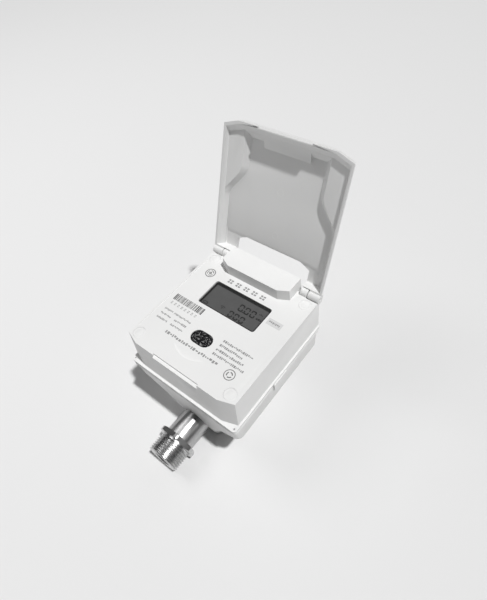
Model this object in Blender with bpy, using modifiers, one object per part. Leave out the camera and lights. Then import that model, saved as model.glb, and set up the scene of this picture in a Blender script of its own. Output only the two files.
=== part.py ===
"""Ultrasonic water meter for a small pipe, with a hinged lid over its display.

Frame: +X across the meter, +Y along the pipe from the front thread to the rear one, +Z up.
The origin is the centre of the flat face that the lower housing rests on.
All sizes are in metres.
"""
import math

import bmesh
import bpy
from mathutils import Matrix

MM = 0.001
GAP = 0.3 * MM                      # left between pieces that touch

# ---------------------------------------------------------------- driving sizes
PIPE_Z = 18.5 * MM                  # pipe axis above the resting face
PIPE_R = 12.0 * MM                  # smooth measuring tube
PIPE_WALL = 2.5 * MM
PIPE_BORE_R = PIPE_R - PIPE_WALL
FRONT_END_Y = -88.6 * MM            # front face of the front thread
METER_LENGTH = 165.0 * MM           # over both threads

THREAD_R = 13.22 * MM               # G 3/4 B pipe thread, crest
THREAD_PITCH = 1.814 * MM
THREAD_DEPTH = 1.16 * MM
THREAD_TURNS = 7
THREAD_LEAD = 0.9 * MM              # plain chamfered start
RELIEF_LENGTH = 1.6 * MM
COLLAR_LENGTH = 3.8 * MM            # wrench collar
COLLAR_FLATS = 29.5 * MM
COLLAR_CORNER_R = 16.2 * MM
COLLAR_TURN = math.radians(11.6)    # one corner leans this far from the top
CONNECTOR_BORE_R = 7.5 * MM
SPIGOT_LENGTH = 8.0 * MM

PANEL_ABOVE_PIPE = 77.9 * MM
PANEL_HALF_W = 48.4 * MM
PANEL_FRONT = -49.35 * MM
PANEL_BACK = 49.35 * MM
PANEL_CUT_X = 11.6 * MM             # front corners cut off
PANEL_CUT_Y = 3.8 * MM
PANEL_T = 2.6 * MM
UPPER_WALL_H = 27.5 * MM            # panel down to the top of the flange
UPPER_WALL_T = 2.2 * MM
FRONT_DRAFT = 1.9 * MM              # the front wall's foot stands this far forward
FLANGE_HALF_W = PANEL_HALF_W + 1.4 * MM
FLANGE_FRONT = -53.1 * MM
FLANGE_BACK = 50.5 * MM
FLANGE_T = 2.2 * MM
FLANGE_CORNER_R = 2.5 * MM

GASKET_T = 0.8 * MM
GASKET_INSET = 0.6 * MM             # back from the lower rim's edge
GASKET_W = 1.7 * MM

TAB_FRONT = -10.5 * MM              # clips of the lower housing over the flange's sides
TAB_BACK = 4.0 * MM
TAB_T = 0.9 * MM
TAB_DROP = 4.0 * MM

LOWER_WALL_T = 2.5 * MM
FLOOR_T = 2.5 * MM
# Height above the pipe axis, half width, front, back and corner radius of the lower housing.
LOWER_LEVELS = [
    (46.8 * MM, FLANGE_HALF_W - 0.1 * MM, -53.0 * MM, 49.9 * MM, 3.0 * MM),
    (45.0 * MM, FLANGE_HALF_W - 0.1 * MM, -53.0 * MM, 49.9 * MM, 3.0 * MM),
    (44.3 * MM, FLANGE_HALF_W - 0.6 * MM, -52.2 * MM, 47.8 * MM, 3.5 * MM),
    (31.0 * MM, FLANGE_HALF_W - 0.6 * MM, -51.2 * MM, 47.0 * MM, 5.0 * MM),
    (25.5 * MM, FLANGE_HALF_W - 6.8 * MM, -50.6 * MM, 46.5 * MM, 6.0 * MM),
    (17.5 * MM, PIPE_R + 20.5 * MM, -50.1 * MM, 46.0 * MM, 6.0 * MM),
    (9.0 * MM, PIPE_R + 14.5 * MM, -49.7 * MM, 45.5 * MM, 6.0 * MM),
    (2.0 * MM, PIPE_R + 9.5 * MM, -49.0 * MM, 45.0 * MM, 6.0 * MM),
    (-8.0 * MM, PIPE_R + 7.0 * MM, -47.0 * MM, 44.0 * MM, 6.0 * MM),
    (-PIPE_Z, PIPE_R + 4.5 * MM, -45.0 * MM, 42.5 * MM, 5.0 * MM),
]

HUMP_HALF_W = 30.9 * MM             # raised aerial cover at the back of the panel
HUMP_FRONT = 34.8 * MM
HUMP_BACK = 54.0 * MM
HUMP_H = 9.6 * MM
HUMP_CUT_X = 8.2 * MM
HUMP_CUT_Y = 4.1 * MM
HUMP_DRAFT = 0.55 * MM
HUMP_WALL_T = 1.8 * MM
BAY_DEPTH = 14.0 * MM               # how far the hump runs down behind the back wall

HINGE_Y = 50.6 * MM
HINGE_ABOVE_PANEL = 1.2 * MM
OPEN_ANGLE = math.radians(109.8)
EAR_R = 3.4 * MM
EAR_CLEARANCE = 0.5 * MM
STOP_REACH = 4.0 * MM               # ribs that the open lid rests on
LUG_R = 3.4 * MM
LUG_X0 = HUMP_HALF_W + 2.7 * MM
LUG_X1 = LUG_X0 + 5.2 * MM
PIN_R = 1.25 * MM
PIN_INSET = 1.1 * MM                # pin's inner end past the lug's inner face
PIN_CLEARANCE = 0.1 * MM            # running fit

LID_HALF_W = PANEL_HALF_W + 0.5 * MM
LID_EDGE_H = 1.2 * MM               # upright edge round the lid's rim
LID_SLOPE = 0.52                    # sides lean in by this much per unit of height
LID_T = 1.9 * MM
LID_H = 8.5 * MM                    # lid top above the panel, closed
LID_PAD_H = 5.0 * MM                # lid top over the two low front corners
LID_EDGE_T = 1.7 * MM               # width of the rim seen from inside
LID_FRONT_H = 5.0 * MM              # the front face is upright up to here
LID_FRONT_BACK = 3.8 * MM           # then leans back by this much
LID_INNER_FRONT = -40.0 * MM        # foot of the sloping front wall, inside
LID_STEP_X = 29.0 * MM              # foot of the slope between the middle and the low corners
LID_STEP_RUN = 1.15                 # that slope's run per unit of height
LID_STEP_START = -20.0 * MM
LID_STEP_END = 6.0 * MM
LID_STEP_WALL = 1.0 * MM            # outer slope beyond the inner one
LID_SIDE_X = LID_HALF_W - 5.1 * MM    # foot of the side wall, inside
LID_REAR_RISE = 1.2 * MM            # the lid's rear strip is this much higher
LID_RISE_Y = 33.0 * MM
LID_NOTCH_GAP = 1.4 * MM            # around the hump
LID_REAR_ROUND = 4.0 * MM
FINGER_HALF_W = 18.0 * MM           # wedge on the inner front wall
FINGER_FOOT = -35.6 * MM
ARM_SOLID_Y = 46.0 * MM             # the lid's arms are solid from here to the hinge
ARM_GAP = 0.8 * MM                  # beside each hinge lug
LATCH_HALF_W = 20.0 * MM
LATCH_BACK = -48.2 * MM             # back wall of the latch notch
LATCH_DEPTH = 2.0 * MM
LATCH_T = 0.8 * MM
LATCH_LEDGE_FRONT = -50.5 * MM
LATCH_LEDGE_T = 1.3 * MM

WINDOW_HALF_W = 25.5 * MM
WINDOW_HALF_D = 11.5 * MM
WINDOW_Y = 14.0 * MM
WINDOW_DEPTH = 1.0 * MM             # window's face below the panel
BEZEL_BORDER = 2.2 * MM
BEZEL_LIP = 1.5 * MM
LCD_T = 2.0 * MM
IR_X = -0.8 * MM
IR_Y = -20.7 * MM
IR_HALF_L = 8.8 * MM
IR_R = 5.4 * MM
LED_R = 2.4 * MM
LED_SPACING = 8.6 * MM

CORNER_X = PANEL_HALF_W - 6.9 * MM    # case screws
CORNER_FRONT_Y = -41.7 * MM
CORNER_BACK_Y = 41.5 * MM
PLUG_R = 4.2 * MM
PLUG_T = 1.4 * MM
SCREW_R = 1.5 * MM
SCREW_HEAD_R = 2.8 * MM
SCREW_HEAD_H = 2.2 * MM
SCREW_LENGTH = 30.0 * MM
BOSS_R = 6.0 * MM
HEAD_DEPTH = 9.0 * MM               # screw head below the panel
SEAL_HOLE_R = 0.7 * MM
SEAL_HOLE_X = FLANGE_HALF_W - 2.2 * MM
SEAL_HOLE_Y = -50.8 * MM
SEAL_HOLE_DEPTH = 1.2 * MM

PCB_HALF_W = CORNER_X - BOSS_R - 0.7 * MM
PCB_FRONT = -40.0 * MM
PCB_BACK = 34.0 * MM
PCB_T = 1.6 * MM
PCB_BELOW_PANEL = 11.0 * MM         # top of the board below the panel's face
PCB_POST_R = 3.2 * MM
PCB_POST_X = PCB_HALF_W - 3.3 * MM
PCB_POST_FRONT_Y = -36.0 * MM
PCB_POST_BACK_Y = 30.5 * MM
PCB_SCREW_R = 1.1 * MM
PCB_SCREW_HEAD_R = 2.3 * MM
PCB_SCREW_HEAD_H = 1.6 * MM
PCB_SCREW_LENGTH = 7.0 * MM

BATTERY_R = 13.0 * MM
BATTERY_LENGTH = 50.0 * MM
BATTERY_X = -20.0 * MM
BATTERY_ABOVE_PORT = 6.5 * MM        # battery underside above the sensor ports
CRADLE_T = 1.7 * MM

PORT_Y = 22.0 * MM                  # ultrasonic ports either side of the middle
PORT_R = 7.4 * MM
PORT_BORE_R = 5.4 * MM
PORT_TOP = PIPE_R + 7.5 * MM          # above the pipe axis
TRANSDUCER_R = 4.9 * MM
TRANSDUCER_H = 6.5 * MM
RING_R = 0.9 * MM
RETAINER_H = 2.2 * MM

SADDLE_Y = 33.0 * MM
SADDLE_W = 6.0 * MM
SADDLE_T = 1.6 * MM
SADDLE_SCREW_X = PIPE_R + 4.0 * MM
SADDLE_EAR_X = SADDLE_SCREW_X + 2.0 * MM
NECK_R = PIPE_R + 4.7 * MM
NECK_LENGTH = 8.0 * MM              # measured inwards from the housing's end faces
NECK_SEAL_R = PIPE_R + 2.4 * MM
NECK_SEAL_LENGTH = 4.0 * MM

# ---------------------------------------------------------------- places that follow
PANEL_Z = PIPE_Z + PANEL_ABOVE_PIPE
FLANGE_TOP_Z = PANEL_Z - UPPER_WALL_H
FLANGE_Z = FLANGE_TOP_Z - FLANGE_T
LOWER_RIM_Z = FLANGE_Z - GASKET_T - 2 * GAP
REAR_END_Y = FRONT_END_Y + METER_LENGTH
HINGE_Z = PANEL_Z + HINGE_ABOVE_PANEL
PCB_Z = PANEL_Z - PCB_BELOW_PANEL
CONNECTOR_LENGTH = (COLLAR_LENGTH + RELIEF_LENGTH + THREAD_TURNS * THREAD_PITCH + THREAD_LEAD)
CORNERS = [(sx * CORNER_X, y) for sx in (-1, 1) for y in (CORNER_FRONT_Y, CORNER_BACK_Y)]
PCB_POSTS = [(sx * PCB_POST_X, y) for sx in (-1, 1) for y in (PCB_POST_FRONT_Y, PCB_POST_BACK_Y)]
SADDLE_SCREWS = [(sx * SADDLE_SCREW_X, sy * SADDLE_Y) for sy in (-1, 1) for sx in (-1, 1)]

# ---------------------------------------------------------------- scene and materials
for old in list(bpy.data.objects):
    bpy.data.objects.remove(old, do_unlink=True)

meter = bpy.data.collections.new("water_meter")
cutters = bpy.data.collections.new("cutters")
bpy.context.scene.collection.children.link(meter)
bpy.context.scene.collection.children.link(cutters)


def make_material(name, colour, roughness, metallic=0.0):
    material = bpy.data.materials.new(name)
    material.use_nodes = True
    shader = material.node_tree.nodes["Principled BSDF"]
    shader.inputs["Base Color"].default_value = (*colour, 1.0)
    shader.inputs["Roughness"].default_value = roughness
    shader.inputs["Metallic"].default_value = metallic
    material.diffuse_color = (*colour, 1.0)
    return material


WHITE = make_material("white_case", (0.84, 0.84, 0.83), 0.42)
STEEL = make_material("steel", (0.55, 0.55, 0.55), 0.22, 1.0)
RUBBER = make_material("black_rubber", (0.03, 0.03, 0.03), 0.8)
BLACK = make_material("black_plastic", (0.02, 0.02, 0.02), 0.35)
CLEAR = make_material("clear_window", (0.30, 0.32, 0.32), 0.06)
GLASS = make_material("display_glass", (0.33, 0.34, 0.33), 0.15)
BOARD = make_material("circuit_board", (0.03, 0.18, 0.07), 0.5)
CELL = make_material("battery_sleeve", (0.10, 0.22, 0.42), 0.4)
GREY = make_material("grey_plastic", (0.45, 0.45, 0.46), 0.5)
CAP = make_material("capacitor_sleeve", (0.05, 0.06, 0.08), 0.4)
CERAMIC = make_material("transducer", (0.72, 0.66, 0.52), 0.5)
WIRE = make_material("wire_jacket", (0.60, 0.05, 0.04), 0.5)


# ---------------------------------------------------------------- modelling helpers
def add_object(name, mesh, material=None, smooth_angle=None):
    """Link a mesh as a part, or as a hidden cutter when it has no material."""
    obj = bpy.data.objects.new(name, mesh)
    if material is None:
        cutters.objects.link(obj)
        obj.display_type = "WIRE"
        obj.hide_render = True
    else:
        meter.objects.link(obj)
        mesh.materials.append(material)
    if smooth_angle is not None:
        mesh.shade_smooth()
        mesh.set_sharp_from_angle(angle=math.radians(smooth_angle))
    return obj


def mesh_from(bm, name):
    bmesh.ops.recalc_face_normals(bm, faces=bm.faces)
    mesh = bpy.data.meshes.new(name)
    bm.to_mesh(mesh)
    bm.free()
    return mesh


def box(name, low, high, material=None):
    """Axis-aligned box between two corners."""
    bm = bmesh.new()
    size = [b - a for a, b in zip(low, high)]
    middle = [(a + b) / 2 for a, b in zip(low, high)]
    bmesh.ops.create_cube(bm, size=1.0, matrix=Matrix.Translation(middle) @ Matrix.Diagonal((*size, 1)))
    return add_object(name, mesh_from(bm, name), material)


def rod(name, radius, start, length, axis="Z", material=None, segments=24, end_radius=None):
    """Cylinder, or cone, that runs from start along +X, +Y or +Z."""
    turn = {"X": Matrix.Rotation(math.pi / 2, 4, "Y"), "Y": Matrix.Rotation(-math.pi / 2, 4, "X"),
            "Z": Matrix.Identity(4)}[axis]
    place = Matrix.Translation(start) @ turn @ Matrix.Translation((0, 0, length / 2))
    top_radius = radius if end_radius is None else end_radius
    bm = bmesh.new()
    bmesh.ops.create_cone(bm, cap_ends=True, segments=segments, radius1=radius, radius2=top_radius,
                          depth=length, matrix=place)
    return add_object(name, mesh_from(bm, name), material, 30)


def prism(name, outline, z0, z1, material=None, top=None):
    """Outline extruded from z0 to z1; a second outline with as many points tapers it."""
    bm = bmesh.new()
    foot = [bm.verts.new((x, y, z0)) for x, y in outline]
    head = [bm.verts.new((x, y, z1)) for x, y in (top or outline)]
    bm.faces.new(foot)
    bm.faces.new(head)
    for i, corner in enumerate(foot):
        j = (i + 1) % len(foot)
        bm.faces.new((corner, foot[j], head[j], head[i]))
    return add_object(name, mesh_from(bm, name), material)


def side_prism(name, outline, x0, x1, material=None):
    """Outline in Y and Z, extruded along X."""
    obj = prism(name, outline, x0, x1, material)
    obj.data.transform(Matrix(((0, 0, 1, 0), (1, 0, 0, 0), (0, 1, 0, 0), (0, 0, 0, 1))))
    return obj


def loft(name, sections, material=None):
    """Closed skin through sections that have equally many points, listed top to bottom."""
    bm = bmesh.new()
    rings = [[bm.verts.new(point) for point in section] for section in sections]
    count = len(rings[0])
    bm.faces.new(rings[0])
    bm.faces.new(rings[-1])
    for upper, lower in zip(rings, rings[1:]):
        for i in range(count):
            j = (i + 1) % count
            bm.faces.new((upper[i], upper[j], lower[j], lower[i]))
    return add_object(name, mesh_from(bm, name), material, 25)


def turned(name, profile, material=None, steps=24, along_y=False, place=(0, 0, 0), closed=False):
    """Spin a profile of (radius, height) points about its own axis, listed top to bottom."""
    mesh = bpy.data.meshes.new(name)
    edges = [(i, i + 1) for i in range(len(profile) - 1)]
    if closed:
        edges.append((len(profile) - 1, 0))
    mesh.from_pydata([(r, 0, h) for r, h in profile], edges, [])
    obj = add_object(name, mesh, material)
    screw = obj.modifiers.new("turn", "SCREW")
    screw.steps = steps
    screw.render_steps = steps
    screw.use_merge_vertices = True
    screw.merge_threshold = 0.00001
    screw.use_smooth_shade = True
    obj.location = place
    if along_y:
        obj.rotation_euler = (-math.pi / 2, 0, 0)
    return obj


def ring(name, inner, outer, h0, h1, material, steps=24, **where):
    """Plain ring between two radii and two heights."""
    profile = [(outer, h1), (outer, h0), (inner, h0), (inner, h1)]
    return turned(name, profile, material, steps, closed=True, **where)


def boolean(obj, other, operation):
    modifier = obj.modifiers.new(other.name, "BOOLEAN")
    modifier.operation = operation
    modifier.object = other
    modifier.solver = "EXACT"


def cut(obj, *others):
    for other in others:
        boolean(obj, other, "DIFFERENCE")


def join(obj, *others):
    for other in others:
        boolean(obj, other, "UNION")


# ---------------------------------------------------------------- outlines
def cut_corner_outline(half_w, front, back, cut_x, cut_y):
    """Rectangle with its two front corners cut off."""
    return [(half_w, back), (-half_w, back), (-half_w, front + cut_y), (-half_w + cut_x, front),
            (half_w - cut_x, front), (half_w, front + cut_y)]


def rounded_outline(half_w, front, back, radius, steps=4):
    """Rectangle with four round corners."""
    points = []
    corners = [(half_w, back, 0), (-half_w, back, 90), (-half_w, front, 180), (half_w, front, 270)]
    for x, y, start in corners:
        cx = x - math.copysign(radius, x)
        cy = y - radius if y == back else y + radius
        for step in range(steps + 1):
            angle = math.radians(start + 90 * step / steps)
            points.append((cx + radius * math.cos(angle), cy + radius * math.sin(angle)))
    return points


def stadium_outline(x, y, half_length, radius, steps=8):
    points = []
    for side, start in ((1, -90), (-1, 90)):
        cx = x + side * (half_length - radius)
        for step in range(steps + 1):
            angle = math.radians(start + 180 * step / steps)
            points.append((cx + radius * math.cos(angle), y + radius * math.sin(angle)))
    return points


def collar_outline():
    """Hexagon whose six corners are turned down."""
    lean = math.acos(COLLAR_FLATS / 2 / COLLAR_CORNER_R)
    half_strip = math.pi / 6 - lean
    points = []
    for corner in range(6):
        middle = math.pi / 2 - COLLAR_TURN - corner * math.pi / 3
        for side in (1, -1):
            angle = middle + side * half_strip
            points.append((COLLAR_CORNER_R * math.cos(angle), COLLAR_CORNER_R * math.sin(angle)))
    return points


# ---------------------------------------------------------------- flow section
def connector_profile():
    """Solid threaded end, from the thread's front face back to the end of the spigot."""
    root = THREAD_R - THREAD_DEPTH
    points = [(0, 0), (root, 0)]
    start = THREAD_LEAD
    for turn in range(THREAD_TURNS):
        y = start + turn * THREAD_PITCH
        points += [(root, y), (THREAD_R, y + 0.4 * THREAD_PITCH), (THREAD_R, y + 0.6 * THREAD_PITCH)]
    thread_end = start + THREAD_TURNS * THREAD_PITCH
    collar_end = thread_end + RELIEF_LENGTH + COLLAR_LENGTH
    spigot = PIPE_BORE_R - GAP
    points += [(root, thread_end), (root, collar_end), (spigot, collar_end),
               (spigot, collar_end + SPIGOT_LENGTH), (0, collar_end + SPIGOT_LENGTH)]
    return points


def build_connector(name, end_y, direction):
    """One threaded end; direction is +1 where the pipe runs towards +Y from it."""
    profile = [(r, h) for r, h in reversed(connector_profile())]
    body = turned(name, profile, STEEL, steps=28, along_y=True, place=(0, end_y, PIPE_Z))
    if direction < 0:
        body.rotation_euler = (math.pi / 2, 0, 0)
    collar_start = THREAD_LEAD + THREAD_TURNS * THREAD_PITCH + RELIEF_LENGTH
    collar = prism(name + "_collar", collar_outline(), 0, COLLAR_LENGTH)
    collar.rotation_euler = (math.pi / 2, 0, 0)
    y = end_y + direction * collar_start
    collar.location = (0, y + COLLAR_LENGTH if direction > 0 else y, PIPE_Z)
    bore_length = CONNECTOR_LENGTH + SPIGOT_LENGTH + 2 * MM
    bore_start = end_y - 1 * MM if direction > 0 else end_y + 1 * MM - bore_length
    bore = rod(name + "_bore", CONNECTOR_BORE_R, (0, bore_start, PIPE_Z), bore_length, "Y")
    join(body, collar)
    cut(body, bore)


def build_flow_tube():
    start = FRONT_END_Y + CONNECTOR_LENGTH + GAP
    length = METER_LENGTH - 2 * (CONNECTOR_LENGTH + GAP)
    tube = rod("measuring_tube", PIPE_R, (0, start, PIPE_Z), length, "Y", STEEL, 28)
    bore = rod("tube_bore", PIPE_BORE_R, (0, start - 1 * MM, PIPE_Z), length + 2 * MM, "Y", segments=28)
    for side in (-1, 1):
        y = side * PORT_Y
        join(tube, rod(f"port_{side}", PORT_R, (0, y, PIPE_Z), PORT_TOP, segments=20))
        cut(tube, rod(f"port_bore_{side}", PORT_BORE_R, (0, y, PIPE_Z), PORT_TOP + 1 * MM, segments=20))
    cut(tube, bore)


def build_flow_insert():
    """Reduced measuring bore between the two mirrors, and a strainer behind the front thread."""
    outer = PIPE_BORE_R - GAP
    ring("flow_insert", 5.5 * MM, outer, -15 * MM, 15 * MM, GREY, 24, along_y=True, place=(0, 0, PIPE_Z))
    y = FRONT_END_Y + CONNECTOR_LENGTH + SPIGOT_LENGTH + GAP
    strainer = rod("strainer", outer, (0, y, PIPE_Z), 2 * MM, "Y", GREY, 24)
    hole_r = 1.7 * MM
    ring_r = 4.6 * MM
    places = [(0, 0)] + [(ring_r * math.cos(k * math.pi / 3), ring_r * math.sin(k * math.pi / 3))
                         for k in range(6)]
    for index, (x, z) in enumerate(places):
        start = (x, y - 1 * MM, PIPE_Z + z)
        cut(strainer, rod(f"strainer_hole_{index}", hole_r, start, 4 * MM, "Y", segments=8))


def build_mirror(name, side):
    """Wedge on the tube's floor that turns the sound beam along the pipe."""
    half = 3.4 * MM
    floor = PIPE_Z - math.sqrt((PIPE_BORE_R - GAP) ** 2 - half ** 2)
    y = side * PORT_Y
    top = PIPE_Z + 1 * MM
    back = y + side * 4.5 * MM
    outline = [(back, floor), (back, top), (back - side * 1.2 * MM, top), (y - side * 4.5 * MM, floor)]
    side_prism(name, outline, -half, half, STEEL)


def build_transducer(tag, side):
    """Sensor, sealing ring and retaining ring in one port."""
    y = side * PORT_Y
    seat = PIPE_Z + PORT_TOP - RETAINER_H - TRANSDUCER_H - 2 * GAP
    profile = [(0, TRANSDUCER_H), (TRANSDUCER_R, TRANSDUCER_H), (TRANSDUCER_R, 3 * MM),
               (TRANSDUCER_R - 1.9 * MM, 3 * MM), (TRANSDUCER_R - 1.9 * MM, 0), (0, 0)]
    turned(f"transducer_{tag}", profile, CERAMIC, 24, place=(0, y, seat))
    centre_r = TRANSDUCER_R - 1.9 * MM + GAP + RING_R
    o_ring = [(centre_r + RING_R * math.cos(a), RING_R * math.sin(a))
              for a in (-math.pi * k / 3 for k in range(6))]
    turned(f"o_ring_{tag}", o_ring, RUBBER, 20, place=(0, y, seat + 3 * MM - GAP - RING_R), closed=True)
    top = seat + TRANSDUCER_H + GAP
    ring(f"retainer_{tag}", 2.6 * MM, PORT_BORE_R - GAP, 0, RETAINER_H, STEEL, 24, place=(0, y, top))


# ---------------------------------------------------------------- lower housing
def lower_section(level, inset=0.0, lift=0.0):
    above, half_w, front, back, radius = level
    outline = rounded_outline(half_w - inset, front + inset, back - inset, max(radius - inset, 1 * MM))
    return [(x, y, PIPE_Z + above + lift) for x, y in outline]


def neck_face(side):
    """Y of the housing's end face beside the pipe."""
    level = min(LOWER_LEVELS, key=lambda entry: abs(entry[0]))
    return level[2] if side < 0 else level[3]


def build_lower_housing():
    levels = [(LOWER_RIM_Z - PIPE_Z,) + LOWER_LEVELS[0][1:]] + LOWER_LEVELS[1:]
    shell = loft("lower_housing", [lower_section(level) for level in levels], WHITE)
    inner = [lower_section(level, LOWER_WALL_T) for level in levels[:-1]]
    inner[0] = [(x, y, z + 2 * MM) for x, y, z in inner[0]]
    inner.append(lower_section(levels[-1], LOWER_WALL_T, FLOOR_T))
    cavity = loft("lower_cavity", inner)
    for x, y in CORNERS:
        cut(cavity, rod(f"lower_boss_{x:.3f}_{y:.3f}", BOSS_R, (x, y, 0), PANEL_Z, segments=16))
    for side in (-1, 1):
        face = neck_face(side)
        start = face - 2 * MM if side < 0 else face - NECK_LENGTH
        cut(cavity, rod(f"neck_{side}", NECK_R, (0, start, PIPE_Z), NECK_LENGTH + 2 * MM, "Y"))
        rib_y = side * 16 * MM
        cut(cavity, box(f"cradle_rib_{side}", (-50 * MM, rib_y - 1 * MM, 0),
                        (-PIPE_R - 1 * MM, rib_y + 1 * MM, cradle_floor() - GAP)))
        for edge in (-1, 1):
            x = sorted((edge * (PIPE_R + 1 * MM), edge * 40 * MM))
            y = side * SADDLE_Y
            cut(cavity, box(f"saddle_post_{side}_{edge}", (x[0], y - SADDLE_W / 2, 0),
                            (x[1], y + SADDLE_W / 2, PIPE_Z - GAP)))
    cut(shell, cavity)
    passage = rod("pipe_passage", PIPE_R + GAP, (0, -60 * MM, PIPE_Z), 120 * MM, "Y", segments=28)
    cut(shell, passage)
    for side in (-1, 1):
        x0, x1 = sorted((side * (FLANGE_HALF_W - 1.5 * MM), side * (FLANGE_HALF_W + GAP + TAB_T)))
        tab = box(f"flange_tab_{side}", (x0, TAB_FRONT, LOWER_RIM_Z - TAB_DROP), (x1, TAB_BACK, FLANGE_TOP_Z))
        x0, x1 = sorted((side * (FLANGE_HALF_W - 3 * MM), side * (FLANGE_HALF_W + GAP)))
        room = box(f"tab_room_{side}", (x0, TAB_FRONT - 1 * MM, LOWER_RIM_Z - 0.5 * MM),
                   (x1, TAB_BACK + 1 * MM, FLANGE_TOP_Z + 1 * MM))
        cut(tab, room)
        join(shell, tab)
        inner_end = neck_face(side) - side * NECK_LENGTH
        start = inner_end - NECK_SEAL_LENGTH if side < 0 else inner_end - 1 * MM
        cut(shell, rod(f"seal_seat_{side}", NECK_SEAL_R + GAP, (0, start, PIPE_Z),
                       NECK_SEAL_LENGTH + 1 * MM, "Y"))
    for x, y in CORNERS:
        depth = SCREW_LENGTH + 2 * MM
        top = PANEL_Z - HEAD_DEPTH - depth
        cut(shell, rod(f"lower_hole_{x:.3f}_{y:.3f}", SCREW_R + GAP, (x, y, top), depth, segments=16))
    for x, y in SADDLE_SCREWS:
        cut(shell, rod(f"post_hole_{x:.3f}_{y:.3f}", 1.3 * MM, (x, y, PIPE_Z - 9 * MM), 12 * MM,
                       segments=12))


def build_neck_seals():
    for tag, side in (("front", -1), ("rear", 1)):
        inner_end = neck_face(side) - side * NECK_LENGTH
        y = inner_end - NECK_SEAL_LENGTH + GAP if side < 0 else inner_end + GAP
        ring(f"neck_seal_{tag}", PIPE_R + GAP, NECK_SEAL_R, 0, NECK_SEAL_LENGTH - 2 * GAP, RUBBER, 24,
             along_y=True, place=(0, y, PIPE_Z))


def build_saddles():
    """Straps that hold the tube down, each with two screws."""
    inner = PIPE_R + GAP
    outer = inner + SADDLE_T
    arc = [math.pi * k / 12 for k in range(13)]
    foot = SADDLE_T
    corner = math.asin(foot / outer)
    span = math.pi - 2 * corner
    arch = [(outer * math.cos(corner + span * k / 12), outer * math.sin(corner + span * k / 12))
            for k in range(13)]
    outline = [(SADDLE_EAR_X, 0), (SADDLE_EAR_X, foot)] + arch + [(-SADDLE_EAR_X, foot), (-SADDLE_EAR_X, 0)]
    outline += [(inner * math.cos(a), inner * math.sin(a)) for a in reversed(arc)]
    for tag, side in (("front", -1), ("rear", 1)):
        strap = prism(f"pipe_saddle_{tag}", outline, -SADDLE_W / 2, SADDLE_W / 2, STEEL)
        strap.rotation_euler = (math.pi / 2, 0, 0)
        strap.location = (0, side * SADDLE_Y, PIPE_Z)
    for index, (x, y) in enumerate(SADDLE_SCREWS, 1):
        tag = "front" if y < 0 else "rear"
        strap = bpy.data.objects[f"pipe_saddle_{tag}"]
        cut(strap, rod(f"strap_hole_{index}", 1.3 * MM, (x, y, PIPE_Z - 1 * MM), 4 * MM, segments=12))
        build_screw(f"saddle_screw_{index}", (x, y, PIPE_Z + SADDLE_T + GAP), 1.0 * MM, 1.7 * MM,
                    1.4 * MM, 8 * MM, 12)


def build_screw(name, seat, radius, head_radius, head_height, length, steps, down=True):
    """Screw whose head sits on seat and whose shank goes down, or up when down is False."""
    profile = [(0, head_height), (head_radius, head_height), (head_radius, 0), (radius, 0),
               (radius, -length), (0, -length)]
    screw = turned(name, profile, STEEL, steps, place=seat)
    if not down:
        screw.rotation_euler = (math.pi, 0, 0)


# ---------------------------------------------------------------- upper housing
def hump_outline(grow=0.0, back=HUMP_BACK):
    return cut_corner_outline(HUMP_HALF_W + grow, HUMP_FRONT - grow, back + grow, HUMP_CUT_X, HUMP_CUT_Y)


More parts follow.
